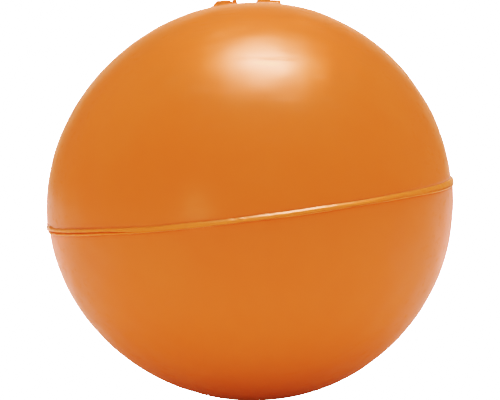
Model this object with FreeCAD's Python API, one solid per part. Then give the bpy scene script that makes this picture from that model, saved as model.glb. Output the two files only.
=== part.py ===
# Playground rubber ball: an inflatable ball with a moulded rubber cover in two halves.
#
# Frame: millimetres, origin at the centre of the ball, +Z up along the axis of the inflation valve,
# +X along the two guard ribs that stand beside the valve.
# From outside to inside the wall is a rubber cover, a winding of nylon thread and a butyl bladder.
# The cover's halves meet at the seam, each with a lip that stands out of the ball, and the two lips
# are cured together face to face. The seam's plane isn't square to the valve: it leans about the Y
# axis. Each half is a spherical cap that is a little shallower than a true hemisphere.
# The valve is a housing bonded under the bladder, with a neck that comes up through the wall, and a
# self-sealing core pressed into it. A patch laps over the housing's flange on the inside.
import FreeCAD, Part
import math
import os

# Ball
ball_diameter = 216.0  # across the cover at the seam, without the lips (nominal 8.5 inches)
pole_flattening = 2.2  # each half is this much shallower than a hemisphere
seam_tilt = 5.9  # degrees from the plane square to the valve; the +X side is the high one

# Wall, from the outside in
cover_wall = 1.5
winding_wall = 0.4
bladder_wall = 0.8

# Seam lips
lip_proud = 1.3  # how far the lips stand out of the cover
upper_lip_height = 1.7
lower_lip_height = 1.4
lip_round = 0.9  # radius of each lip's outer corner

# Guard ribs, one on each side of the valve, moulded on the upper half
rib_clearance = 0.3  # from the neck's side to each rib's inner end
rib_length = 13.4
rib_width = 7.0
rib_height = 1.7
shoulder_length = 5.2  # the inner end of each rib, which stands taller
shoulder_rise = 0.5

# Valve housing
neck_diameter = 9.0
neck_recess = 0.3  # from the cover's outside down to the neck's top
winding_gap = 0.5  # all round, between the neck and the thread
flange_diameter = 34.0
flange_wall = 1.0
barrel_diameter = 13.0
barrel_length = 14.0  # below the flange
barrel_chamfer = 1.0

# Patch over the flange
patch_lap = 6.0  # onto the bladder, all round the flange
patch_wall = 0.6

# Valve core
core_clearance = 0.0  # the core is pressed in, face to face
core_recess = 0.2  # from the neck's top down to the head's top
head_diameter = 6.4
head_height = 1.6
shank_diameter = 4.6
barb_diameter = 6.2
barb_height = 3.0
barb_above_base = 1.5  # from the barrel's lower end up to the barb
tail_length = 3.5  # below the barrel
tail_tip_diameter = 3.2
needle_diameter = 2.2  # the guide bore, for a standard inflation needle
needle_bore_length = 12.0
mouth_diameter = 3.8  # of the funnel above the guide bore
mouth_depth = 0.8
slit_width = 2.6
slit_opening = 0.1

Vec = FreeCAD.Vector
CENTRE = Vec(0, 0, 0)
UP = Vec(0, 0, 1)
TILT_AXIS = Vec(0, 1, 0)

# The upper cap's sphere: its radius, and how far its centre lies below the seam's plane
equator_radius = ball_diameter / 2
half_depth = equator_radius - pole_flattening
cap_radius = (equator_radius**2 + half_depth**2) / (2 * half_depth)
cap_drop = cap_radius - half_depth
tilt = math.radians(seam_tilt)
cap_centre = Vec(cap_drop * math.sin(tilt), 0, -cap_drop * math.cos(tilt))

# Depths below the cover's outside
winding_depth = cover_wall
bladder_depth = winding_depth + winding_wall
flange_depth = bladder_depth + bladder_wall
barrel_depth = flange_depth + flange_wall

# Heights on the valve's axis
top = cap_centre.z + math.sqrt(cap_radius**2 - cap_centre.x**2)
neck_top = top - neck_recess
barrel_base = top - barrel_depth - barrel_length
head_top = neck_top - core_recess
bore_top = head_top - mouth_depth
bore_base = bore_top - needle_bore_length


def arc_radius(depth, height):
    """Distance from the seam's axis to the cap's surface, at a depth and a height above the seam."""
    return math.sqrt((cap_radius - depth) ** 2 - (height + cap_drop) ** 2)


def cap_arc(depth, low, side):
    """The meridian of one cap, from the height low above the seam to the pole. side is 1 or -1."""
    radius = cap_radius - depth
    start = math.asin((low + cap_drop) / radius)
    middle = (start + math.pi / 2) / 2
    ends = [
        Vec(radius * math.cos(a), 0, side * (radius * math.sin(a) - cap_drop))
        for a in (start, middle)
    ]
    pole = Vec(0, 0, side * (radius - cap_drop))
    return Part.Arc(ends[0], ends[1], pole).toShape()


def line(start, end):
    return Part.LineSegment(start, end).toShape()


def spun(edges):
    """A solid turned about the seam's axis, then leant over with the seam."""
    solid = Part.Face(Part.Wire(Part.__sortEdges__(edges))).revolve(CENTRE, UP, 360)
    return Part.Solid(solid.rotate(CENTRE, TILT_AXIS, -seam_tilt))


def round_bar(diameter, low, high):
    """A cylinder on the valve's axis."""
    return Part.makeCylinder(diameter / 2, high - low, Vec(0, 0, low))


def taper(low_diameter, high_diameter, low, high):
    """A cone on the valve's axis."""
    return Part.makeCone(low_diameter / 2, high_diameter / 2, high - low, Vec(0, 0, low))


def layer(depth, wall, diameter):
    """A round of the wall about the valve's axis, that follows the upper cap."""
    outer = Part.makeSphere(cap_radius - depth, cap_centre)
    inner = Part.makeSphere(cap_radius - depth - wall, cap_centre)
    return outer.cut(inner).common(round_bar(diameter, 0, 2 * ball_diameter))


def cover_half(side, lip_height):
    """One half of the cover, with its lip. side is 1 for the upper half and -1 for the lower one."""
    lip_edge = equator_radius + lip_proud
    root = Vec(arc_radius(0, lip_height), 0, side * lip_height)
    round_start = Vec(lip_edge - lip_round, 0, side * lip_height)
    round_end = Vec(lip_edge, 0, side * (lip_height - lip_round))
    bulge = lip_round * (1 - math.sqrt(0.5))
    round_middle = Vec(lip_edge - bulge, 0, side * (lip_height - bulge))
    lip_foot = Vec(lip_edge, 0, 0)
    rim = Vec(arc_radius(cover_wall, 0), 0, 0)
    outside_pole = Vec(0, 0, side * half_depth)
    inside_pole = Vec(0, 0, side * (half_depth - cover_wall))
    return spun(
        [
            cap_arc(0, lip_height, side),
            line(root, round_start),
            Part.Arc(round_start, round_middle, round_end).toShape(),
            line(round_end, lip_foot),
            line(lip_foot, rim),
            cap_arc(cover_wall, 0, side),
            line(inside_pole, outside_pole),
        ]
    )


def closed_layer(depth, wall):
    """A layer of the wall that runs all round the ball in one piece."""
    edges = [cap_arc(d, 0, side) for d in (depth, depth + wall) for side in (1, -1)]
    for side in (1, -1):
        outside_pole = Vec(0, 0, side * (half_depth - depth))
        inside_pole = Vec(0, 0, side * (half_depth - depth - wall))
        edges.append(line(outside_pole, inside_pole))
    return spun(edges)


def guard_rib(side):
    """One rib beside the valve, on the +X side (1) or the -X side (-1)."""
    below = cover_wall / 2
    inner_end = neck_diameter / 2 + rib_clearance
    pieces = []
    for length, rise in ((rib_length, 0), (shoulder_length, shoulder_rise)):
        skin = Part.makeSphere(cap_radius + rib_height + rise, cap_centre)
        skin = skin.cut(Part.makeSphere(cap_radius - below, cap_centre))
        start = inner_end if side > 0 else -inner_end - length
        block = Part.makeBox(length, rib_width, 2 * ball_diameter, Vec(start, -rib_width / 2, 0))
        pieces.append(skin.common(block))
    return pieces[0].fuse(pieces[1])


def cover_upper_half():
    half = cover_half(1, upper_lip_height)
    for side in (1, -1):
        half = half.fuse(guard_rib(side))
    return half.removeSplitter().cut(round_bar(neck_diameter, 0, 2 * top))


def cover_lower_half():
    return cover_half(-1, lower_lip_height)


def thread_winding():
    hole = round_bar(neck_diameter + 2 * winding_gap, 0, 2 * top)
    return closed_layer(winding_depth, winding_wall).cut(hole)


def bladder():
    return closed_layer(bladder_depth, bladder_wall).cut(round_bar(neck_diameter, 0, 2 * top))


def valve_housing():
    """Neck, flange and barrel in one piece, bored for the core."""
    body = layer(flange_depth, flange_wall, flange_diameter)
    body = body.fuse(round_bar(neck_diameter, barrel_base + barrel_chamfer, neck_top))
    # The barrel starts halfway up the flange, which it joins.
    barrel_top = top - barrel_depth + flange_wall / 2
    body = body.fuse(round_bar(barrel_diameter, barrel_base + barrel_chamfer, barrel_top))
    tip_diameter = barrel_diameter - 2 * barrel_chamfer
    body = body.fuse(
        taper(tip_diameter, barrel_diameter, barrel_base, barrel_base + barrel_chamfer)
    )
    body = body.removeSplitter()
    fit = 2 * core_clearance
    seat = neck_top - core_recess - head_height
    body = body.cut(round_bar(head_diameter + fit, seat, 2 * top))
    body = body.cut(round_bar(shank_diameter + fit, 0, 2 * top))
    barb_low = barrel_base + barb_above_base
    return body.cut(round_bar(barb_diameter + fit, barb_low, barb_low + barb_height))


def valve_core():
    """A plug with a head, a shank, a barb and a slit tail, bored from the top for the needle."""
    barb_low = barrel_base + barb_above_base
    tail_base = barrel_base - tail_length
    core = round_bar(shank_diameter, barrel_base, head_top)
    core = core.fuse(round_bar(head_diameter, head_top - head_height, head_top))
    core = core.fuse(round_bar(barb_diameter, barb_low, barb_low + barb_height))
    core = core.fuse(taper(tail_tip_diameter, shank_diameter, tail_base, barrel_base))
    core = core.removeSplitter()
    core = core.cut(round_bar(needle_diameter, bore_base, 2 * top))
    core = core.cut(taper(needle_diameter, mouth_diameter, bore_top, head_top))
    slit_corner = Vec(-slit_width / 2, -slit_opening / 2, tail_base)
    return core.cut(Part.makeBox(slit_width, slit_opening, bore_base - tail_base, slit_corner))


def valve_patch():
    """A disc that laps over the flange and onto the bladder, with a hole for the barrel."""
    lapped = layer(flange_depth, patch_wall, flange_diameter + 2 * patch_lap)
    raised = layer(flange_depth, flange_wall + patch_wall, flange_diameter + 2 * patch_wall)
    patch = lapped.fuse(raised).removeSplitter()
    patch = patch.cut(layer(flange_depth, flange_wall, flange_diameter))
    return patch.cut(round_bar(barrel_diameter, 0, 2 * top))


NODES = {
    "cover_upper_half": cover_upper_half,
    "cover_lower_half": cover_lower_half,
    "thread_winding": thread_winding,
    "bladder": bladder,
    "valve_housing": valve_housing,
    "valve_core": valve_core,
    "valve_patch": valve_patch,
}


def main():
    os.makedirs("parts", exist_ok=True)
    for name, make in NODES.items():
        shape = make()
        shape.exportStep(f"parts/{name}.step")
        box = shape.BoundBox
        print(
            f"{name}: {len(shape.Solids)} solid, valid {shape.isValid()}, {shape.Volume:.0f} mm3, "
            f"z {box.ZMin:.2f} to {box.ZMax:.2f}"
        )
    print(f"needle bore: from z {bore_base:.3f} to z {bore_top:.3f}, outside at z {top:.3f}")


if __name__ == "__main__":
    main()
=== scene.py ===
import math

import bmesh
import bpy
import numpy as np
from mathutils import Matrix, Vector


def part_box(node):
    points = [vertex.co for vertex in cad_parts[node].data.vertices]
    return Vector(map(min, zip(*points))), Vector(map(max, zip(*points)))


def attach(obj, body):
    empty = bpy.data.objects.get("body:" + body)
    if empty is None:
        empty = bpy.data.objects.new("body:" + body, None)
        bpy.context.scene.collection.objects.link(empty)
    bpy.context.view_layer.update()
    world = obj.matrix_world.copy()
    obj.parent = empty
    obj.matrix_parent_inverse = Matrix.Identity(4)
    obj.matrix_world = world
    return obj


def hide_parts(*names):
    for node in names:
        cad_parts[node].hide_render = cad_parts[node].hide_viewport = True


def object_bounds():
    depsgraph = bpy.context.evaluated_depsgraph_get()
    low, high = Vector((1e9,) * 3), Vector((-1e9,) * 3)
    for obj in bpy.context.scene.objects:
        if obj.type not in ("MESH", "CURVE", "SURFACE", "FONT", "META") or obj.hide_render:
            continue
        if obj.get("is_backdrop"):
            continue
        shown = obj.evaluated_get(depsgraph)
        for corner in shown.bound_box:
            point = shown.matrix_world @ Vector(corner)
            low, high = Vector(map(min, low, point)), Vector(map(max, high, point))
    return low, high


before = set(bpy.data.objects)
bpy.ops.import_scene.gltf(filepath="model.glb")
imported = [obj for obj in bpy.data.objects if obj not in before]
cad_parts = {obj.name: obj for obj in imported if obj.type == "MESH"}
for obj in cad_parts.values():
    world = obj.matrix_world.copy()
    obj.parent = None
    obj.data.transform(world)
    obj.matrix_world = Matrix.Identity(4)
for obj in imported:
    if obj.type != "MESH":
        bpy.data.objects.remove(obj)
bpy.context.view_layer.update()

bl_info = {
    "name": "Playground Rubber Ball",
    "version": (1, 0, 0),
    "blender": (4, 5, 0),
    "location": "3D View > Sidebar > Rubber Ball",
    "description": "Makes a moulded rubber ball around its packed frame, and a plain studio for it",
    "category": "Object",
}

MM = 0.001
BODY = "root"  # the one body of a part with no joints
UPPER, LOWER = 1, -1  # the two halves of the cover, by their side of the seam's plane
RIM_STEPS = 720  # points round the cover at the seam
CAP_STEPS = 360  # points round the cover away from the seam


# ---------------------------------------------------------------- colour

def linear(hex_colour):
    """An sRGB hex colour as linear red, green and blue."""
    parts = [int(hex_colour[i:i + 2], 16) / 255 for i in (1, 3, 5)]
    return tuple(p / 12.92 if p <= 0.04045 else ((p + 0.055) / 1.055) ** 2.4 for p in parts)


def rgba(colour):
    return (*colour, 1)


# ---------------------------------------------------------------- settings

LIP_PROUD = 1.3 * MM
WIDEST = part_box("cover_lower_half")[1].y  # from the ball's centre to the lips' outside


def length(name, description, metres):
    return bpy.props.FloatProperty(
        name=name, description=description, default=metres, unit="LENGTH", precision=5
    )


def colour(name, description, hex_colour):
    return bpy.props.FloatVectorProperty(
        name=name, description=description, default=linear(hex_colour), subtype="COLOR", min=0, max=1
    )


def share(name, description, value):
    return bpy.props.FloatProperty(
        name=name, description=description, default=value, subtype="FACTOR", min=0, max=1
    )


def turn(name, description, degrees):
    return bpy.props.FloatProperty(
        name=name, description=description, default=math.radians(degrees), subtype="ANGLE"
    )


def glow(name, description, value):
    return bpy.props.FloatProperty(name=name, description=description, default=value, min=0)


class BallSizes(bpy.types.PropertyGroup):
    equator_radius: length(
        "Equator radius", "Outside of the cover at the seam, without the lips", WIDEST - LIP_PROUD
    )
    pole_flattening: length("Pole flattening", "How much shallower each half is than a hemisphere", 2.2 * MM)
    seam_tilt: turn("Seam tilt", "The seam's lean about Y, from square to the valve", 5.9)
    cover_wall: length("Cover wall", "Thickness of the rubber cover", 1.5 * MM)
    mould_slip: length("Mould slip", "How far the two mould halves were out of line", 0.42 * MM)
    unevenness: length("Unevenness", "Height of the cover's faint lumps and hollows", 0.05 * MM)


class LipSizes(bpy.types.PropertyGroup):
    proud: length("Proud", "How far the lips stand out of the cover", LIP_PROUD)
    upper_height: length("Upper height", "From the parting line to the upper lip's edge", 1.7 * MM)
    lower_height: length("Lower height", "From the parting line to the lower lip's edge", 1.4 * MM)
    wander: length("Wander", "How far the parting line strays up and down", 0.22 * MM)
    sag: length("Sag", "How far both lips hang below the seam's plane at the front", 0.85 * MM)
    peak: length("Peak", "From the seam's plane down to where the lips' bead stands proudest", 0.75 * MM)
    top_share: share("Top share", "How proud the bead is at its upper edge, as a share of its peak", 0.40)
    top_bevel: length("Top bevel", "Height of the bevel on the bead's upper edge", 0.6 * MM)
    groove_depth: share("Groove depth", "The open parting line's groove, as a share of the bead", 0.74)
    groove_width: length("Groove width", "Half the width of the parting line's groove", 0.3 * MM)
    crease_depth: length("Crease depth", "The crease between the lip and the cover", 0.10 * MM)
    crease_width: length("Crease width", "Half the width of that crease", 0.4 * MM)


class RibSizes(bpy.types.PropertyGroup):
    inner_end: length("Inner end", "From the valve's axis to the rib", 4.8 * MM)
    rib_length: length("Length", "Length of each rib", 13.4 * MM)
    width: length("Width", "Width of each rib", 7.0 * MM)
    height: length("Height", "Height of each rib over the cover", 1.7 * MM)
    shoulder_rise: length("Shoulder rise", "How much taller the inner end of the rib is", 0.4 * MM)
    edge_round: length("Edge round", "How far a rib's edge takes to rise", 0.8 * MM)
    hole_radius: length("Hole radius", "The cover's hole for the valve", 4.5 * MM)


class Finishes(bpy.types.PropertyGroup):
    rubber: colour("Rubber", "Moulded orange rubber", "#EE6A2B")
    rubber_faded: colour("Faded rubber", "The same rubber where it has faded", "#EE6D2E")
    # Painted highlight: the lips and ribs drawn paler than the cover, as the light that they catch
    rubber_painted_highlight: colour("Thin rubber", "The paler rubber of the lips and ribs", "#F47B34")
    thread: colour("Thread", "Wound nylon thread", "#E9E2D0")
    butyl: colour("Butyl", "Black butyl rubber", "#232221")
    gum: colour("Gum", "The valve core's gum rubber", "#37332F")
    floor: colour("Floor", "The studio's floor", "#BDBDBB")
    # Painted shade in the creases, the open parting line and round the valve hole, with grime in patches
    grime_and_shade: colour("Grime", "Grime in the creases", "#8A3C12")
    bloom: colour("Bloom", "The fine bloom on the rubber, which lightens its edges", "#FFB070")
    bloom_weight: share("Bloom weight", "Strength of the bloom", 0.08)


class Studio(bpy.types.PropertyGroup):
    softbox_height: length("Softbox height", "From the ball's centre up to the softbox", 1.25)
    softbox_glow: glow("Softbox glow", "Brightness of the softbox in reflections", 130.0)
    diffuser_glow: glow("Diffuser glow", "Brightness of the diffuser round the softbox", 12.0)
    overhead_light: glow("Overhead light", "Soft light from above on the ball", 13.2)
    window_glow: glow("Window glow", "Brightness of a window in front, in reflections", 26.0)
    floor_glow: glow("Floor glow", "Extra brightness of the floor round the ball", 0.76)
    side_glow: glow("Side glow", "Extra brightness of the floor to the sides and behind", 2.6)
    behind_glow: glow("Behind glow", "Brightness of the floor behind the ball, in reflections", 0.88)
    room_light: glow("Room light", "Soft light from the room all round", 0.78)
    backdrop_light: glow("Backdrop light", "Extra soft light from the backdrop", 0.7)
    backdrop_glow: glow("Backdrop glow", "Brightness of the backdrop in reflections", 2.0)
    wall_glow: glow("Wall glow", "Brightness of the white walls in reflections", 0.3)
    ceiling_glow: glow("Ceiling glow", "Brightness of the dim ceiling in reflections", 0.14)
    warm: colour("Warm light", "Colour of the walls and the softbox in reflections", "#FFE6C6")
    amber: colour("Amber light", "Colour of the diffuser and the window in reflections", "#FFD79A")
    distance: length("Camera distance", "From the ball's centre to the camera", 0.8515)
    lens: bpy.props.FloatProperty(
        name="Lens", description="Focal length of the camera's lens", default=114.6, min=1, unit="CAMERA"
    )
    elevation: turn("Camera elevation", "How far the camera looks down", 3.8)
    roll: turn("Camera roll", "The camera's turn about its line of sight", 1.1)


# ---------------------------------------------------------------- shapes in numbers

def harmonics(angle, low, high, seed):
    """A smooth random line round the ball, of unit strength, from waves of low to high to the turn."""
    random = np.random.default_rng(seed)
    total = np.zeros_like(angle)
    for count in range(low, high + 1):
        total += np.cos(count * angle + random.uniform(0, 2 * np.pi))
    return total / math.sqrt((high - low + 1) / 2)


def ripples(points, wavelength, seed, waves=32):
    """A smooth random field over points in space, of unit strength."""
    random = np.random.default_rng(seed)
    total = np.zeros(points.shape[:-1])
    for _ in range(waves):
        direction = random.normal(size=3)
        direction *= 2 * np.pi / (wavelength * random.uniform(0.7, 1.4) * np.linalg.norm(direction))
        total += np.cos(points @ direction + random.uniform(0, 2 * np.pi))
    return total / math.sqrt(waves / 2)


def hump(distance, half_width):
    return np.exp(-((distance / half_width) ** 2))


def smooth(value):
    """From 0 to 1 as the value goes from 0 to 1, with soft ends."""
    value = np.clip(value, 0, 1)
    return value * value * (3 - 2 * value)


def turn_gap(angle, centre):
    """The shorter way round from centre to angle."""
    return (angle - centre + np.pi) % (2 * np.pi) - np.pi


def between(angle, start, end, soft):
    """1 where the angle is between start and end, with soft ends of that width."""
    middle, half = (start + end) / 2, (end - start) / 2
    return smooth((half - np.abs(turn_gap(angle, middle))) / soft + 0.5)


def around(steps):
    return np.arange(steps) * 2 * np.pi / steps


class Cap:
    """One half of the cover in numbers, at a depth below its outside: a spherical cap over the seam."""

    def __init__(self, sizes, side, depth=0.0):
        height = sizes.equator_radius - sizes.pole_flattening
        radius = (sizes.equator_radius**2 + height**2) / (2 * height)
        self.side = side
        self.radius = radius - depth
        self.drop = radius - height
        cos, sin = math.cos(sizes.seam_tilt), math.sin(sizes.seam_tilt)
        self.lean = np.array([[cos, 0, -sin], [0, 1, 0], [sin, 0, cos]])
        self.centre = self.lean @ np.array([0, 0, -side * self.drop])

    def ring(self, angle, height, proud=0.0):
        """Points at those heights over the seam's plane, and that far proud of the cap."""
        radius = np.sqrt(self.radius**2 - (height + self.drop) ** 2) + proud
        points = np.stack([radius * np.cos(angle), radius * np.sin(angle), self.side * height], axis=-1)
        return points @ self.lean.T


def swept(start, end, amount):
    """The direction that far along the great circle from start to end."""
    angle = np.arccos(np.clip((start * end).sum(-1, keepdims=True), -1, 1))
    return (np.sin((1 - amount) * angle) * start + np.sin(amount * angle) * end) / np.sin(angle)


def unit(vectors):
    return vectors / np.linalg.norm(vectors, axis=-1, keepdims=True)


# ---------------------------------------------------------------- meshes

def strip(first, second, first_count, second_count):
    """Faces from one ring of points to the next. The counts are the same, or one is twice the other."""
    faces = []
    if first_count == second_count:
        for i in range(first_count):
            j = (i + 1) % first_count
            faces.append((first + i, first + j, second + j, second + i))
    elif first_count == 2 * second_count:
        for i in range(second_count):
            j = (i + 1) % second_count
            a, b, c = first + 2 * i, first + 2 * i + 1, first + (2 * i + 2) % first_count
            faces += [(a, b, second + i), (b, c, second + j), (b, second + j, second + i)]
    else:
        faces = [face[::-1] for face in strip(second, first, second_count, first_count)]
    return faces


def ring_mesh(name, rings, closed, flip=False):
    """A skin over rings of points. It runs back to the first ring, or each end closes on a point."""
    starts = np.cumsum([0] + [len(ring) for ring in rings])
    points = np.concatenate(rings)
    faces = []
    for k in range(len(rings) - 1):
        faces += strip(int(starts[k]), int(starts[k + 1]), len(rings[k]), len(rings[k + 1]))
    if closed:
        faces += strip(int(starts[-2]), 0, len(rings[-1]), len(rings[0]))
    if flip:
        faces = [face[::-1] for face in faces]
    mesh = bpy.data.meshes.new(name)
    mesh.from_pydata(points.tolist(), [], faces)
    mesh.validate()
    mesh.shade_smooth()
    return mesh


def add_marks(mesh, marks):
    """Each point's shares of painted shade, with grime, in the creases and of painted highlight, which the
    material reads by name.
    """
    for name, values in zip(("crease", "painted_highlight"), np.concatenate(marks).T):
        attribute = mesh.attributes.new(name, "FLOAT", "POINT")
        attribute.data.foreach_set("value", values.astype(np.float32))


def place(name, mesh, material, slot, *replaced):
    """A new piece that rides on the ball, stands for CAD nodes and takes the given material. The slot is not
    used.
    """
    piece = bpy.data.objects.new(name, mesh)
    bpy.context.scene.collection.objects.link(piece)
    mesh.materials.clear()
    mesh.materials.append(material)
    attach(piece, BODY)
    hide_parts(*replaced)
    return piece


# ---------------------------------------------------------------- the cover's shape

# Places round the seam, as turns about its axis from +X towards +Y: -90 degrees faces front
OPEN_LEFT = (math.radians(-192), math.radians(-126))
OPEN_RIGHT = (math.radians(-36), math.radians(8))
PARTED_LEFT = (math.radians(-192), math.radians(-140))  # where the lower lip stands clear of the upper one
FRONT = (math.radians(-112), math.radians(-46))  # where the lips are pressed into one narrow bead
SAGGING = (math.radians(-128), math.radians(-14))
RIGHT_END, LEFT_END = 0.0, math.pi
END_HALF = 0.3  # half-width of each end's own shape, in radians

# How the bead changes round the seam: (place, radians that it takes to start and end, millimetres)
PARTING_DROPS = ((PARTED_LEFT, 0.5, 0.45), (OPEN_RIGHT, 0.5, 0.75))
LOWER_LIP_EXTRAS = (
    (PARTED_LEFT, 0.5, 0.5),
    (OPEN_RIGHT, 0.5, 0.8),
    (OPEN_LEFT, 0.4, 0.3),
    (FRONT, 0.5, -0.45),
)
PEAK_DROPS = ((PARTED_LEFT, 0.5, 0.8), (FRONT, 0.5, -0.3))
BEVEL_EXTRAS = ((FRONT, 0.5, 0.4),)
RIGHT_PEAK_DROP, END_PEAK_LIFT = 0.8 * MM, 0.9 * MM
CURED_DROP = 0.55 * MM  # how low the parting line lies where the lips are cured together
TUCK = (math.radians(-163), 0.035, 0.9 * MM)  # a raised place on the upper lip: turn, half-width, height


def changes(angle, table):
    """Those changes of the bead at an angle, added up in metres."""
    return MM * sum(amount * between(angle, *span, soft) for span, soft, amount in table)


def seam_end(angle, centre):
    """1 at the seam's left or right end as seen from the front, and soft to 0 on both sides of it."""
    return hump(turn_gap(angle, centre), END_HALF)


def groove_openness(angle):
    """From 0, where the lips are cured together, to 1, where the parting line is an open groove."""
    opened = between(angle, *OPEN_LEFT, 0.2) + 0.28 * between(angle, *OPEN_RIGHT, 0.25)
    return np.clip(opened + 0.15 * smooth(harmonics(angle, 4, 14, 41)), 0.06, 1)


def seam_bow(angle, lips):
    """How far both lips lie off the seam's plane. They sag a little at the front."""
    return -lips.sag * between(angle, *SAGGING, 0.55)


def parting_height(angle, lips):
    """The parting line's height over the seam's plane. It lies low where the lips are cured together."""
    low = CURED_DROP * (1 - groove_openness(angle))
    stray = lips.wander * (0.5 * harmonics(angle, 2, 9, 42) + 0.25 * harmonics(angle, 20, 60, 43))
    return stray - low - changes(angle, PARTING_DROPS) + seam_bow(angle, lips)


def lip_edge(angle, lips, side):
    """Height of a lip's outer edge over the seam's plane, on its own side."""
    ragged = 0.07 * MM * harmonics(angle, 3, 20, 44 + side)
    ragged += 0.035 * MM * harmonics(angle, 60, 170, 47 + side)
    if side == UPPER:
        centre, half_width, height = TUCK
        edge = lips.upper_height + height * hump(turn_gap(angle, centre), half_width)
    else:
        edge = lips.lower_height + changes(angle, LOWER_LIP_EXTRAS)
    return edge + ragged + side * seam_bow(angle, lips)


def bead_outline(angle, height, top, bottom, lips):
    """How proud the bead of both lips is, as a share: a face that looks up, and a round underside. The
    face is steeper and the bead is proudest lower down where the parting line is open."""
    tip = seam_end(angle, RIGHT_END)
    top_share = lips.top_share + 0.4 * between(angle, *OPEN_LEFT, 0.4) + 0.4 * tip
    peak = lips.peak + changes(angle, PEAK_DROPS)
    peak += RIGHT_PEAK_DROP * between(angle, *OPEN_RIGHT, 0.5) * (1 - tip) - END_PEAK_LIFT * tip
    rise = np.clip((top - height) / (top + peak), 0, 1)
    bevel = np.clip((top - height) / (lips.top_bevel + changes(angle, BEVEL_EXTRAS)), 0, 1)
    face = (top_share + (1 - top_share) * rise) * bevel * (1.25 - 0.25 * bevel)
    under = np.clip((-peak - height) / (bottom - peak), 0, 1)
    return np.where(height > -peak, face, np.sqrt(1 - under**2))


def lip_proudness(angle, lips, side, height):
    """How far the lips stand out of the cover, at a height over the seam's plane."""
    top, bottom = (lip_edge(angle, lips, one) for one in (UPPER, LOWER))
    ragged = 0.05 * harmonics(angle, 3, 24, 50) + 0.03 * harmonics(angle, 50, 140, 51 + side)
    strength = lips.proud * (1 + ragged) * (1 - 0.7 * seam_end(angle, LEFT_END))
    # The lower lip stands out past the upper one on the left, and behind it at the right end
    if side == LOWER:
        strength *= 1 + 0.4 * between(angle, *PARTED_LEFT, 0.5) - 0.5 * seam_end(angle, RIGHT_END)
    bow = seam_bow(angle, lips)
    outline = bead_outline(angle, height - bow, top - bow, bottom + bow, lips)
    # The groove has a steep upper side and a slack lower one
    below = parting_height(angle, lips) - height
    groove = groove_openness(angle) * hump(below, np.where(below > 0, 1.3, 0.7) * lips.groove_width)
    return strength * (1 - groove * lips.groove_depth) * outline


# Low lumps on the cover by the seam: (turn in degrees, then height over the seam's plane, half-length,
# half-height and how proud, in millimetres)
SEAM_MARKS = (
    (-38, 3.2, 0.55, 0.45, 0.35),
    (-53, 1.5, 1.2, 0.6, 0.35),
    (-61, 2.1, 0.9, 0.5, -0.25),
    (-166, 3.0, 3.0, 0.5, -0.45),
    (-171, 2.4, 1.6, 0.6, 0.40),
    (34, 2.6, 0.7, 0.5, 0.35),
    (98, 1.7, 1.4, 0.6, 0.30),
)


def seam_marks(angle, height):
    """Nibs, nicks and a tuck that the mould left beside the seam."""
    total = np.zeros_like(angle)
    for degrees, centre, half_length, half_height, proud in SEAM_MARKS:
        along = turn_gap(angle, math.radians(degrees)) * WIDEST
        total += proud * MM * hump(along, half_length * MM) * hump(height - centre * MM, half_height * MM)
    return total


# Wide swells of the ball, from how it was cured and pumped: (direction, half-angle in degrees, millimetres)
SWELLS = (
    ((-1.0, -0.1, -0.02), 22, 0.25),
    ((1.0, 0.0, 0.0), 12, -1.0),
    ((-0.92, 0.0, -0.39), 15, 0.6),
    ((0.28, 0.0, 0.96), 10, 0.5),
    ((0.62, 0.0, 0.8), 30, 1.1),
    ((-0.68, 0.0, 0.72), 26, -1.2),
    ((0.6, 0.0, -0.75), 26, 0.4),
    ((-0.35, 0.0, -0.94), 24, -0.8),
    ((0.3, 0.9, 0.2), 26, -0.7),
)


def swell(directions):
    total = np.zeros(directions.shape[:-1])
    for direction, half_angle, height in SWELLS:
        towards = unit(np.array(direction, float))
        gap = np.arccos(np.clip(directions @ towards, -1, 1))
        total += height * MM * hump(gap, math.radians(half_angle))
    return total


LUMP_SPAN = 17 * MM  # from one of the cover's faint lumps to the next
CALM_BAND = 1 / 14  # height of the smooth band beside the seam, as a share of the ball's radius


def settle(points, cap, sizes):
    """The moulded cap as it is on the real ball: uneven, swollen here and there and slipped at the seam."""
    directions = unit(points)
    rise = directions @ cap.lean @ np.array([0, 0, 1])
    nearness = np.sqrt(np.clip(1 - rise**2, 0, 1))[..., None]
    lumps = sizes.unevenness * ripples(points, LUMP_SPAN, 60 + cap.side)
    out = swell(directions) + lumps * smooth(np.abs(rise) / CALM_BAND)
    slip = np.array([-cap.side * sizes.mould_slip, 0, 0])
    return points + directions * out[..., None] + slip * nearness


# The two ribs, which were trimmed by hand and so differ: side of the valve, then length of the shoulder,
# length of the slope at the outer end, climb of the top towards that end, and extra height, in millimetres
RIBS = (
    (1, 7.2, 0.0, 0.5, -0.45),
    (-1, 2.6, 3.2, 1.1, 0.1),
)
RIB_CORNER = 0.9 * MM  # radius of a rib's corners, from above
SHOULDER_STEP = 0.8 * MM  # length of the step down from the shoulder
TRIM_MARKS = 0.03  # depth of the trimming's marks, as a share of the rib's height
BLUNT_END = 3.0 * MM  # length over which a sloping rib's top comes down
NICK_DEPTH, NICK_HALF = 0.45, 0.55 * MM  # the nick beyond its shoulder: share of its height, half-length


def inside_rib(run, y, ribs):
    """How far a place is inside the rib's outline, a rectangle with round corners."""
    over_x = np.abs(run - ribs.rib_length / 2) - ribs.rib_length / 2 + RIB_CORNER
    over_y = np.abs(y) - ribs.width / 2 + RIB_CORNER
    outside = np.hypot(np.maximum(over_x, 0), np.maximum(over_y, 0)) - RIB_CORNER
    return -outside - np.minimum(0, np.maximum(over_x, over_y)) * (outside < 0)


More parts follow.
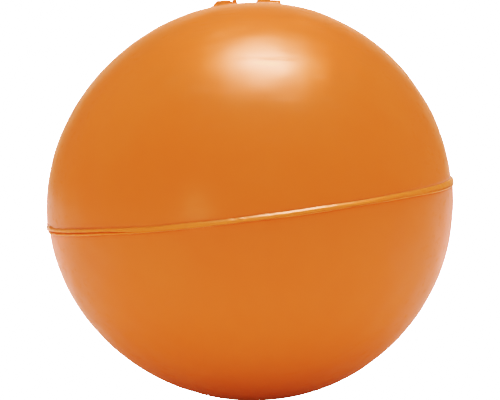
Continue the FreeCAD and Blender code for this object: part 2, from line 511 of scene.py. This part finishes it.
def rib_height(x, y, ribs):
    """Height of the two guard ribs over the cover, at a place beside the valve."""
    total = np.zeros_like(x)
    across = smooth((ribs.width / 2 - np.abs(y)) / ribs.edge_round)
    for side, *lengths in RIBS:
        shoulder, tail, climb, extra = (one * MM for one in lengths)
        run = side * x - ribs.inner_end
        step = smooth((shoulder - run) / SHOULDER_STEP + 0.5)
        rise = ribs.height + extra + climb * run / ribs.rib_length + ribs.shoulder_rise * step
        marks = TRIM_MARKS * np.sin(run / (1.1 * MM) + 1.7 * side) * np.cos(run / (2.3 * MM) + 0.4)
        height = rise * (1 + marks) * smooth(inside_rib(run, y, ribs) / ribs.edge_round)
        if tail:
            to_end = ribs.rib_length - run
            height *= np.clip(to_end / BLUNT_END, 0, 1) ** 0.7
            height *= 1 - NICK_DEPTH * hump(run - shoulder - 0.5 * MM, NICK_HALF)
            run_out = np.clip((to_end + tail) / (2 * tail), 0, 1) ** 2
            slope = ribs.height * run_out * across * (run > ribs.rib_length / 2)
            height = np.maximum(height, slope)
        total += height
    return total


# ---------------------------------------------------------------- the cover's two halves

# Rings of points, from the parting line to the pole and back inside
LIP_RINGS = 22
FLANK_RINGS = 12
FLANK_GROWTH = 1.9  # how much closer together the flank's rings lie by the lip
FLANK_END = 7.5 * MM  # height over the seam's plane where the cap's own rings start
UPPER_RINGS, LOWER_RINGS, INSIDE_RINGS = 58, 66, 26
RIB_RINGS = 88
RIB_ZONE = 23 * MM  # radius about the valve that the rings for the ribs cover
HOLE_EDGE = 0.35 * MM  # round of the valve hole's upper edge
HOLE_STEPS = 4
FINEST = 0.9 * MM  # points on a ring near the lower pole lie no closer than this

SHADE_AND_GRIME_HALF = 0.22 * MM  # half-height of the painted shade, with grime, in the open parting line
HOLE_SHADE_AND_GRIME, HOLE_SHADE_AND_GRIME_HALF = 0.8, 0.9 * MM  # painted shade, with grime, round the valve hole: its share and half-width
PAINTED_HIGHLIGHT_EDGE = 0.4 * MM  # height over which the lips' painted highlight fades into the cover's colour


def lip_rings(cap, lips):
    """Rings from the parting line out over the lip and down its flank, and each point's shares of painted
    shade in the crease and of painted highlight on the lip."""
    angle = around(RIM_STEPS)
    start = cap.side * parting_height(angle, lips)
    edge = lip_edge(angle, lips, cap.side)
    rings, marks = [], []
    for k in range(LIP_RINGS + FLANK_RINGS + 1):
        if k <= LIP_RINGS:
            height = start + (edge - start) * (1 - math.cos(math.pi * k / LIP_RINGS)) / 2
            proud = lip_proudness(angle, lips, cap.side, cap.side * height)
            # Painted shade, with grime, in the open parting line
            open_line = groove_openness(angle) * hump(height - start, SHADE_AND_GRIME_HALF)
        else:
            height = edge + (FLANK_END - edge) * ((k - LIP_RINGS) / FLANK_RINGS) ** FLANK_GROWTH
            proud = open_line = np.zeros(RIM_STEPS)
        crease = hump(height - edge, lips.crease_width)
        if cap.side == UPPER:
            proud = proud + seam_marks(angle, height)
        rings.append(cap.ring(angle, height, proud - lips.crease_depth * crease))
        # Painted highlight over the whole lip; painted shade, with grime, in the crease beside it and in the
        # open parting line
        painted_highlight = smooth((edge - height) / PAINTED_HIGHLIGHT_EDGE + 0.5)
        marks.append(np.stack([np.maximum(crease, open_line), painted_highlight], axis=-1))
    return rings, marks


def cap_rings(cap, first, last, parts):
    """Rings over the cap, from one ring of points on it to another, at those shares of the way."""
    start, end = unit(first - cap.centre), unit(last - cap.centre)
    return [cap.centre + cap.radius * swept(start, end, part) for part in parts]


def no_marks(rings):
    return [np.zeros((len(ring), 2)) for ring in rings]


def shares(count):
    """Evenly spaced shares between 0 and 1, with neither end."""
    return [k / count for k in range(1, count)]


def upper_cover(sizes, lips, ribs):
    """The upper half's mesh: lip, cap, guard ribs, valve hole and inside, as one closed skin."""
    cap = Cap(sizes, UPPER)
    inside = Cap(sizes, UPPER, sizes.cover_wall)
    rings, marks = lip_rings(cap, lips)
    angle = around(CAP_STEPS)
    flank_height = np.full(CAP_STEPS, FLANK_END)

    def on_cap(radius):
        """A ring on the cap about the valve's axis."""
        flat = np.stack([radius * np.cos(angle), radius * np.sin(angle)], axis=-1)
        over = flat - cap.centre[:2]
        height = cap.centre[2] + np.sqrt(cap.radius**2 - (over**2).sum(-1))
        return np.concatenate([flat, height[:, None]], axis=-1)

    outer = cap_rings(cap, cap.ring(angle, flank_height), on_cap(RIB_ZONE), shares(UPPER_RINGS))
    rings += outer
    marks += no_marks(outer)
    rim = ribs.hole_radius + HOLE_EDGE
    for radius in np.linspace(RIB_ZONE, rim, RIB_RINGS):
        ring = on_cap(radius)
        raised = rib_height(ring[:, 0], ring[:, 1], ribs)
        rings.append(ring + unit(ring - cap.centre) * raised[:, None])
        # Painted shade, with grime, towards the valve hole, and painted highlight on the ribs by their
        # height
        grime_and_shade = np.full(CAP_STEPS, HOLE_SHADE_AND_GRIME * hump(radius - rim, HOLE_SHADE_AND_GRIME_HALF))
        marks.append(np.stack([grime_and_shade, smooth(raised / ribs.height * 2)], axis=-1))
    for k in range(1, HOLE_STEPS + 1):
        bend = math.pi / 2 * k / HOLE_STEPS
        ring = on_cap(ribs.hole_radius + HOLE_EDGE * (1 - math.sin(bend)))
        ring[:, 2] -= HOLE_EDGE * (1 - math.cos(bend))
        rings.append(ring)
        # Full painted shade on the hole's rounded edge
        marks.append(np.tile([1.0, 0.0], (CAP_STEPS, 1)))
    wall_foot = on_cap(ribs.hole_radius)
    wall_foot[:, 2] -= sizes.cover_wall
    rings.append(wall_foot)
    parts = [*shares(INSIDE_RINGS), 1]
    rings += cap_rings(inside, wall_foot, inside.ring(angle, flank_height), parts)
    seam_angle = around(RIM_STEPS)
    rings.append(inside.ring(seam_angle, parting_height(seam_angle, lips)))
    marks += no_marks(rings[len(marks):])
    mesh = ring_mesh("cover_upper", [settle(ring, cap, sizes) for ring in rings], closed=True)
    add_marks(mesh, marks)
    return mesh


def lower_cover(sizes, lips):
    """The lower half's mesh: lip, cap and inside, as one closed skin."""
    cap = Cap(sizes, LOWER)
    inside = Cap(sizes, LOWER, sizes.cover_wall)
    rings, marks = lip_rings(cap, lips)
    angle = around(CAP_STEPS)
    down = cap.lean @ np.array([0, 0, -1])

    def to_pole(shell, parts):
        """Rings from the flank's end to the pole, with fewer points as they close in."""
        flank = shell.ring(angle, np.full(CAP_STEPS, FLANK_END))
        pole = np.broadcast_to(shell.centre + shell.radius * down, flank.shape)
        return [thinned(ring) for ring in cap_rings(shell, flank, pole, parts)]

    seam_angle = around(RIM_STEPS)
    inner_rim = inside.ring(seam_angle, -parting_height(seam_angle, lips))
    before = to_pole(inside, [0, *shares(INSIDE_RINGS)])[::-1] + [inner_rim]
    after = to_pole(cap, shares(LOWER_RINGS))
    skin = [settle(ring, cap, sizes) for ring in before + rings + after]
    mesh = ring_mesh("cover_lower", skin, closed=False)
    add_marks(mesh, no_marks(before) + marks + no_marks(after))
    close_ends(mesh, len(skin[0]), len(skin[-1]))
    return mesh


def thinned(ring):
    """The ring with every second point left out, as often as it takes to keep them apart."""
    reach = np.linalg.norm(ring - ring.mean(0), axis=-1).mean()
    while len(ring) % 2 == 0 and len(ring) > 12 and reach * 2 * np.pi / len(ring) < FINEST:
        ring = ring[::2]
    return ring


def close_ends(mesh, first_count, last_count):
    """Closes the skin's first and last rings with one face each."""
    work = bmesh.new()
    work.from_mesh(mesh)
    work.verts.ensure_lookup_table()
    total = len(work.verts)
    work.faces.new([work.verts[i] for i in range(first_count)][::-1]).smooth = True
    work.faces.new([work.verts[i] for i in range(total - last_count, total)]).smooth = True
    bmesh.ops.recalc_face_normals(work, faces=work.faces)
    work.to_mesh(mesh)
    work.free()


# ---------------------------------------------------------------- materials

def add_node(tree, kind, settings=None, inputs=None):
    """A node with its settings, and its inputs set to numbers or linked from other nodes' outputs."""
    node = tree.nodes.new(kind)
    for key, value in (settings or {}).items():
        setattr(node, key, value)
    for key, value in (inputs or {}).items():
        if isinstance(value, bpy.types.NodeSocket):
            tree.links.new(value, node.inputs[key])
        else:
            node.inputs[key].default_value = value
    return node


def new_material(name):
    """An empty material with its output node, and the tree that holds it."""
    material = bpy.data.materials.new(name)
    material.use_nodes = True
    tree = material.node_tree
    tree.nodes.clear()
    return material, tree


def moulded_rubber(finishes):
    """Natural rubber cured in a polished steel mould: even orange with a satin, slightly waxy skin, faint
    cloudy mottling, a few scuffs, painted shade with a little grime in the creases, and painted highlight on
    the lips and ribs."""
    material, tree = new_material("moulded_rubber_orange")
    place_on = add_node(tree, "ShaderNodeTexCoord").outputs["Object"]
    # Clouds about 45 mm across, as the pigment lies in the sheet before it is cured
    clouds = add_node(
        tree,
        "ShaderNodeTexNoise",
        None,
        {"Vector": place_on, "Scale": 1 / (45 * MM), "Detail": 3.0, "Roughness": 0.5},
    )
    cloud_share = add_node(
        tree, "ShaderNodeMapRange", None, {"Value": clouds.outputs["Fac"], "From Min": 0.35, "From Max": 0.7}
    )
    tint = add_node(
        tree,
        "ShaderNodeMix",
        {"data_type": "RGBA"},
        {"Factor": cloud_share.outputs["Result"], 6: rgba(finishes.rubber), 7: rgba(finishes.rubber_faded)},
    )
    # Painted shade in the creases, with grime, in patches 6 mm across
    crease = add_node(tree, "ShaderNodeAttribute", {"attribute_name": "crease"})
    grime_and_shade_noise = add_node(
        tree, "ShaderNodeTexNoise", None, {"Vector": place_on, "Scale": 1 / (6 * MM), "Detail": 4.0}
    )
    grime_and_shade = add_node(
        tree,
        "ShaderNodeMath",
        {"operation": "MULTIPLY"},
        {0: crease.outputs["Fac"], 1: grime_and_shade_noise.outputs["Fac"]},
    )
    grime_and_shade_share = add_node(
        tree, "ShaderNodeMath", {"operation": "MULTIPLY"}, {0: grime_and_shade.outputs["Value"], 1: 0.3}
    )
    # Painted highlight: the lips and the ribs are drawn paler, as the light that they catch
    painted_highlight = add_node(tree, "ShaderNodeAttribute", {"attribute_name": "painted_highlight"})
    paler = add_node(
        tree,
        "ShaderNodeMix",
        {"data_type": "RGBA"},
        {"Factor": painted_highlight.outputs["Fac"], 6: tint.outputs[2], 7: rgba(finishes.rubber_painted_highlight)},
    )
    colour_out = add_node(
        tree,
        "ShaderNodeMix",
        {"data_type": "RGBA"},
        {"Factor": grime_and_shade_share.outputs["Value"], 6: paler.outputs[2], 7: rgba(finishes.grime_and_shade)},
    )
    # Roughness: a satin skin, duller in cloudy patches 14 mm across
    dull = add_node(
        tree,
        "ShaderNodeTexNoise",
        None,
        {"Vector": place_on, "Scale": 1 / (14 * MM), "Detail": 5.0, "Roughness": 0.6},
    )
    roughness = add_node(
        tree,
        "ShaderNodeMapRange",
        None,
        {"Value": dull.outputs["Fac"], "From Min": 0.3, "From Max": 0.7, "To Min": 0.29, "To Max": 0.33},
    )
    # Scuffs: faint streaks 3 or 4 mm wide and some 25 mm long, duller than the skin round them
    streak_sizes = (1 / (25 * MM), 1 / (4 * MM), 1 / (3 * MM))
    streak_space = add_node(
        tree,
        "ShaderNodeMapping",
        None,
        {"Vector": place_on, "Rotation": (0.4, 0.9, 0.6), "Scale": streak_sizes},
    )
    streaks = add_node(
        tree,
        "ShaderNodeTexNoise",
        None,
        {"Vector": streak_space.outputs["Vector"], "Scale": 1.0, "Detail": 2.0},
    )
    scuffed = add_node(
        tree,
        "ShaderNodeMapRange",
        {"interpolation_type": "SMOOTHSTEP"},
        {"Value": streaks.outputs["Fac"], "From Min": 0.55, "From Max": 0.72, "To Min": 0.0, "To Max": 0.12},
    )
    worn = add_node(
        tree,
        "ShaderNodeMath",
        {"operation": "ADD"},
        {0: roughness.outputs["Result"], 1: scuffed.outputs["Result"]},
    )
    # Relief: the mould's polish marks and the rubber's skin. They are finer than this, and are drawn about
    # 1.5 mm across, as coarse as they need to show
    skin = add_node(
        tree, "ShaderNodeTexNoise", None, {"Vector": place_on, "Scale": 1 / (1.5 * MM), "Detail": 3.0}
    )
    relief = add_node(
        tree,
        "ShaderNodeBump",
        None,
        {"Height": skin.outputs["Fac"], "Strength": 0.12, "Distance": 0.05 * MM},
    )
    shader = add_node(
        tree,
        "ShaderNodeBsdfPrincipled",
        None,
        {
            "Base Color": colour_out.outputs[2],
            "Roughness": worn.outputs["Value"],
            "Normal": relief.outputs["Normal"],
            "IOR": 1.52,
            "Specular IOR Level": 0.1,
            "Sheen Weight": finishes.bloom_weight,
            "Sheen Roughness": 0.3,
            "Sheen Tint": rgba(finishes.bloom),
        },
    )
    add_node(tree, "ShaderNodeOutputMaterial", None, {"Surface": shader.outputs["BSDF"]})
    return material


def matt_material(name, colour_value, roughness_low, roughness_high):
    """A plain matt material of one colour, with clouds 5 mm across and a fine grain."""
    material, tree = new_material(name)
    place_on = add_node(tree, "ShaderNodeTexCoord").outputs["Object"]
    cloud = add_node(
        tree, "ShaderNodeTexNoise", None, {"Vector": place_on, "Scale": 1 / (5 * MM), "Detail": 4.0}
    )
    tint = add_node(
        tree,
        "ShaderNodeMix",
        {"data_type": "RGBA"},
        {
            "Factor": cloud.outputs["Fac"],
            6: rgba([0.7 * part for part in colour_value]),
            7: rgba([1.3 * part for part in colour_value]),
        },
    )
    roughness = add_node(
        tree,
        "ShaderNodeMapRange",
        None,
        {"Value": cloud.outputs["Fac"], "To Min": roughness_low, "To Max": roughness_high},
    )
    grain = add_node(
        tree, "ShaderNodeTexNoise", None, {"Vector": place_on, "Scale": 1 / (0.4 * MM), "Detail": 2.0}
    )
    relief = add_node(
        tree,
        "ShaderNodeBump",
        None,
        {"Height": grain.outputs["Fac"], "Strength": 0.3, "Distance": 0.03 * MM},
    )
    shader = add_node(
        tree,
        "ShaderNodeBsdfPrincipled",
        None,
        {
            "Base Color": tint.outputs[2],
            "Roughness": roughness.outputs["Result"],
            "Normal": relief.outputs["Normal"],
            "IOR": 1.52,
        },
    )
    add_node(tree, "ShaderNodeOutputMaterial", None, {"Surface": shader.outputs["BSDF"]})
    return material


def dress(node, material):
    """Gives a CAD node that stays in view its material."""
    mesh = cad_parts[node].data
    mesh.materials.clear()
    mesh.materials.append(material)


# ---------------------------------------------------------------- operators

def rubber():
    """The cover's rubber, made once for both halves."""
    return bpy.data.materials.get("moulded_rubber_orange") or moulded_rubber(bpy.context.scene.ball_finishes)


class BALL_OT_upper_cover(bpy.types.Operator):
    """Make the upper half of the rubber cover, with its lip, guard ribs and valve hole"""

    bl_idname = "rubber_ball.upper_cover"
    bl_label = "Upper Cover"

    def execute(self, context):
        scene = context.scene
        mesh = upper_cover(scene.ball_sizes, scene.ball_lips, scene.ball_ribs)
        place("upper_cover", mesh, rubber(), "cover_rubber", "cover_upper_half")
        return {"FINISHED"}


class BALL_OT_lower_cover(bpy.types.Operator):
    """Make the lower half of the rubber cover, with its lip"""

    bl_idname = "rubber_ball.lower_cover"
    bl_label = "Lower Cover"

    def execute(self, context):
        scene = context.scene
        mesh = lower_cover(scene.ball_sizes, scene.ball_lips)
        place("lower_cover", mesh, rubber(), "cover_rubber", "cover_lower_half")
        return {"FINISHED"}


class BALL_OT_carcass(bpy.types.Operator):
    """Give the winding, the bladder, its patch and the valve their materials"""

    bl_idname = "rubber_ball.carcass"
    bl_label = "Winding, Bladder and Valve"

    def execute(self, context):
        finishes = context.scene.ball_finishes
        # Butyl rubber, moulded with no polish: black and nearly matt, with a faint bloom
        butyl = matt_material("moulded_butyl_black", finishes.butyl, 0.5, 0.7)
        # Gum rubber, cast in a small smooth mould: dark, and a little shinier than the butyl
        gum = matt_material("moulded_gum_dark", finishes.gum, 0.35, 0.5)
        # Nylon thread, wound and dipped in latex: pale and dull
        thread = matt_material("wound_nylon_thread", finishes.thread, 0.5, 0.7)
        for node in ("bladder", "valve_patch", "valve_housing"):
            dress(node, butyl)
        dress("valve_core", gum)
        dress("thread_winding", thread)
        return {"FINISHED"}


class BALL_OT_stage(bpy.types.Operator):
    """Make the pale floor, the soft lights and the camera"""

    bl_idname = "rubber_ball.stage"
    bl_label = "Stage"

    def execute(self, context):
        scene = context.scene
        studio = scene.ball_studio
        make_floor(scene.ball_finishes, studio)
        make_room(scene, studio)
        make_lights(studio)
        make_camera(scene, studio)
        return {"FINISHED"}


# ---------------------------------------------------------------- the stage

WHITE = 16.0  # brightness of the studio's white sweep


# Where each glow of the floor starts and ends, in metres
NEAR_FLOOR = (0.085, 0.2)  # comes in, by the distance from the ball's centre
SIDE_FLOOR = (0.05, 0.16)  # comes in, by how far a place is to the side and behind
SIDE_WEIGHT, BEHIND_WEIGHT = 0.6, 0.9  # how much each of those two counts
SIDE_FADE = (0.2, 0.6)  # fades again, by the distance from the ball's centre
BEHIND_FLOOR = (0.0, 0.35)  # comes in, by how far a place is behind the ball's centre


def make_floor(finishes, studio):
    """A pale floor: plain white to look at, and in the light that it throws on the ball brighter away from
    it, most of all to its sides and behind."""
    steps = 96
    angle = around(steps)
    height = np.full(steps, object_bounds()[0].z)
    rings = []
    for radius in (0.001, 0.2, 0.6, 1.5, 6.0):
        rings.append(np.stack([radius * np.cos(angle), radius * np.sin(angle), height], axis=-1))
    mesh = ring_mesh("studio_floor", rings, closed=False, flip=True)
    floor = bpy.data.objects.new("studio_floor", mesh)
    bpy.context.scene.collection.objects.link(floor)
    material, tree = new_material("painted_floor_pale")
    place_on = add_node(tree, "ShaderNodeTexCoord").outputs["Object"]
    away = add_node(tree, "ShaderNodeVectorMath", {"operation": "LENGTH"}, {0: place_on}).outputs["Value"]
    across = add_node(tree, "ShaderNodeSeparateXYZ", None, {0: place_on})
    soft = {"interpolation_type": "SMOOTHSTEP"}
    near = add_node(
        tree,
        "ShaderNodeMapRange",
        soft,
        {
            "Value": away,
            "From Min": NEAR_FLOOR[0],
            "From Max": NEAR_FLOOR[1],
            "To Min": 0.0,
            "To Max": studio.floor_glow,
        },
    )
    width = add_node(tree, "ShaderNodeMath", {"operation": "ABSOLUTE"}, {0: across.outputs["X"]})
    width = add_node(
        tree, "ShaderNodeMath", {"operation": "MULTIPLY"}, {0: width.outputs[0], 1: SIDE_WEIGHT}
    )
    depth = add_node(
        tree, "ShaderNodeMath", {"operation": "MULTIPLY"}, {0: across.outputs["Y"], 1: BEHIND_WEIGHT}
    )
    outward = add_node(
        tree, "ShaderNodeMath", {"operation": "ADD"}, {0: width.outputs[0], 1: depth.outputs[0]}
    )
    side_strength = add_node(
        tree,
        "ShaderNodeMapRange",
        soft,
        {
            "Value": away,
            "From Min": SIDE_FADE[0],
            "From Max": SIDE_FADE[1],
            "To Min": studio.side_glow,
            "To Max": 0.0,
        },
    )
    beside = add_node(
        tree,
        "ShaderNodeMapRange",
        soft,
        {
            "Value": outward.outputs[0],
            "From Min": SIDE_FLOOR[0],
            "From Max": SIDE_FLOOR[1],
            "To Min": 0.0,
            "To Max": side_strength.outputs["Result"],
        },
    )
    spread = add_node(
        tree,
        "ShaderNodeMath",
        {"operation": "ADD"},
        {0: near.outputs["Result"], 1: beside.outputs["Result"]},
    )
    behind = add_node(
        tree,
        "ShaderNodeMapRange",
        soft,
        {
            "Value": across.outputs["Y"],
            "From Min": BEHIND_FLOOR[0],
            "From Max": BEHIND_FLOOR[1],
            "To Min": 0.0,
            "To Max": studio.behind_glow,
        },
    )
    rays = add_node(tree, "ShaderNodeLightPath")
    strength = add_node(
        tree,
        "ShaderNodeMix",
        {"data_type": "FLOAT"},
        {"Factor": rays.outputs["Is Glossy Ray"], 2: spread.outputs[0], 3: behind.outputs["Result"]},
    )
    paint = add_node(tree, "ShaderNodeBsdfDiffuse", None, {"Color": rgba(finishes.floor)})
    lift = add_node(tree, "ShaderNodeEmission", None, {"Strength": strength.outputs[0]})
    lifted = add_node(
        tree, "ShaderNodeAddShader", None, {0: paint.outputs["BSDF"], 1: lift.outputs["Emission"]}
    )
    white = add_node(tree, "ShaderNodeEmission", None, {"Strength": WHITE})
    mixed = add_node(
        tree,
        "ShaderNodeMixShader",
        None,
        {0: rays.outputs["Is Camera Ray"], 1: lifted.outputs["Shader"], 2: white.outputs["Emission"]},
    )
    add_node(tree, "ShaderNodeOutputMaterial", None, {"Surface": mixed.outputs["Shader"]})
    mesh.materials.append(material)
    floor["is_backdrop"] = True


def make_room(scene, studio):
    """White surroundings: plain white to look at, and a soft even light on the ball."""
    world = bpy.data.worlds.new("white_room")
    scene.world = world
    world.cycles.sampling_method = "NONE"  # so that gloss and soft light each see their own room
    world.use_nodes = True
    tree = world.node_tree
    tree.nodes.clear()
    seen = add_node(tree, "ShaderNodeLightPath").outputs["Is Camera Ray"]
    mirrored = add_node(tree, "ShaderNodeLightPath").outputs["Is Glossy Ray"]
    direction = add_node(tree, "ShaderNodeTexCoord").outputs["Generated"]
    up = add_node(tree, "ShaderNodeSeparateXYZ", None, {0: direction}).outputs["Z"]
    wall = add_node(
        tree,
        "ShaderNodeMapRange",
        {"interpolation_type": "SMOOTHSTEP"},
        {
            "Value": up,
            "From Min": -0.05,
            "From Max": 0.2,
            "To Min": studio.wall_glow,
            "To Max": studio.ceiling_glow,
        },
    )
    # The backdrop, behind the ball, is lit more than the rest
    behind = add_node(tree, "ShaderNodeSeparateXYZ", None, {0: direction}).outputs["Y"]
    backdrop = add_node(
        tree,
        "ShaderNodeMapRange",
        {"interpolation_type": "SMOOTHSTEP"},
        {"Value": behind, "From Min": 0.82, "From Max": 1.0, "To Min": 0.0, "To Max": studio.backdrop_glow},
    )
    mirrored_light = add_node(
        tree,
        "ShaderNodeMath",
        {"operation": "MAXIMUM"},
        {0: wall.outputs["Result"], 1: backdrop.outputs["Result"]},
    )
    spill = add_node(
        tree,
        "ShaderNodeMapRange",
        {"interpolation_type": "SMOOTHSTEP"},
        {
            "Value": behind,
            "From Min": 0.45,
            "From Max": 0.9,
            "To Min": studio.room_light,
            "To Max": studio.room_light + studio.backdrop_light,
        },
    )
    lit = add_node(tree, "ShaderNodeBackground", None, {"Strength": spill.outputs["Result"]})
    gloss = add_node(
        tree,
        "ShaderNodeBackground",
        None,
        {"Color": rgba(studio.warm), "Strength": mirrored_light.outputs["Value"]},
    )
    white = add_node(tree, "ShaderNodeBackground", None, {"Strength": WHITE})
    soft = add_node(
        tree,
        "ShaderNodeMixShader",
        None,
        {0: mirrored, 1: lit.outputs["Background"], 2: gloss.outputs["Background"]},
    )
    both = add_node(
        tree,
        "ShaderNodeMixShader",
        None,
        {0: seen, 1: soft.outputs["Shader"], 2: white.outputs["Background"]},
    )
    add_node(tree, "ShaderNodeOutputWorld", None, {"Surface": both.outputs["Shader"]})


def area_light(name, place, width, depth, radiance, colour_of, gloss):
    """A soft panel that faces the ball. It is seen only in the gloss, or only lights the ball softly."""
    light = bpy.data.lights.new(name, "AREA")
    light.shape = "RECTANGLE"
    light.size = width
    light.size_y = depth
    light.energy = radiance * math.pi * width * depth
    light.color = colour_of
    panel = bpy.data.objects.new(name, light)
    bpy.context.scene.collection.objects.link(panel)
    back = place.normalized()
    across = Vector((1, 0, 0))
    across = (across - back * across.dot(back)).normalized()
    panel.location = place
    panel.rotation_euler = Matrix((across, back.cross(across), back)).transposed().to_euler()
    panel.visible_camera = False
    panel.visible_glossy = gloss
    panel.visible_diffuse = not gloss


def make_lights(studio):
    """A softbox overhead, its glow on the diffuser round it, its soft light on the ball, a faint window."""
    plain = (1, 1, 1)
    # Each panel's name, direction from the ball, width, depth, brightness, colour, and if the gloss sees it
    panels = (
        ("softbox", (0.12, -0.08, 0.985), 0.50, 0.36, studio.softbox_glow, studio.warm, True),
        ("softbox_diffuser", (0.10, -0.04, 0.99), 1.05, 0.52, studio.diffuser_glow, studio.amber, True),
        ("overhead_light", (0.03, -0.04, 0.99), 0.5, 0.5, studio.overhead_light, plain, False),
        ("window", (-0.47, -0.88, 0.05), 0.2, 0.28, studio.window_glow, studio.amber, True),
    )
    for name, towards, *rest in panels:
        area_light(name, Vector(towards) * studio.softbox_height, *rest)


AIM = Vector((-0.3 * MM, 0, 1.1 * MM))  # the place on the ball that the camera looks at
RESPONSE = ((0.5, 0.5), (1.0, 1.0), (1.22, 1.55), (2.2, 3.9))  # light, and the light it is shown as


def make_camera(scene, studio):
    """A long lens, nearly level with the ball."""
    camera = bpy.data.objects.new("camera", bpy.data.cameras.new("camera"))
    scene.collection.objects.link(camera)
    camera.data.sensor_width = 36
    camera.data.lens = studio.lens
    back = Vector((0, -math.cos(studio.elevation), math.sin(studio.elevation)))
    camera.location = AIM + back * studio.distance
    look = (-back).to_track_quat("-Z", "Y").to_matrix().to_4x4()
    camera.rotation_euler = (look @ Matrix.Rotation(-studio.roll, 4, "Z")).to_euler()
    camera.data.clip_end = 50
    scene.camera = camera
    view = scene.view_settings
    view.view_transform = "Filmic"
    view.look = "High Contrast"
    # Bright light is shown brighter still, so that the highlights and the room turn plain white
    view.use_curve_mapping = True
    response = view.curve_mapping
    response.use_clip = False
    curve = response.curves[3]
    curve.points[1].location = (6.0, 14.0)
    for light, shown in RESPONSE:
        point = curve.points.new(light, shown)
        point.handle_type = "VECTOR"
    curve.points[0].handle_type = "VECTOR"
    response.update()


# ---------------------------------------------------------------- panel and registration

class BALL_PT_panel(bpy.types.Panel):
    bl_label = "Rubber Ball"
    bl_idname = "BALL_PT_panel"
    bl_space_type = "VIEW_3D"
    bl_region_type = "UI"
    bl_category = "Rubber Ball"

    def draw(self, context):
        layout = self.layout
        for group in SETTINGS:
            box = layout.box()
            for name in SETTINGS[group].__annotations__:
                box.prop(getattr(context.scene, group), name)
        for operator in OPERATORS:
            layout.operator(operator.bl_idname)


SETTINGS = {
    "ball_sizes": BallSizes,
    "ball_lips": LipSizes,
    "ball_ribs": RibSizes,
    "ball_finishes": Finishes,
    "ball_studio": Studio,
}
OPERATORS = (BALL_OT_upper_cover, BALL_OT_lower_cover, BALL_OT_carcass, BALL_OT_stage)
CLASSES = (*SETTINGS.values(), *OPERATORS, BALL_PT_panel)


def register():
    for cls in CLASSES:
        bpy.utils.register_class(cls)
    for name, group in SETTINGS.items():
        setattr(bpy.types.Scene, name, bpy.props.PointerProperty(type=group))


def unregister():
    for name in SETTINGS:
        delattr(bpy.types.Scene, name)
    for cls in reversed(CLASSES):
        bpy.utils.unregister_class(cls)


def main():
    register()
    bpy.ops.rubber_ball.upper_cover()
    bpy.ops.rubber_ball.lower_cover()
    bpy.ops.rubber_ball.carcass()
    bpy.ops.rubber_ball.stage()


if __name__ == "__main__":
    main()
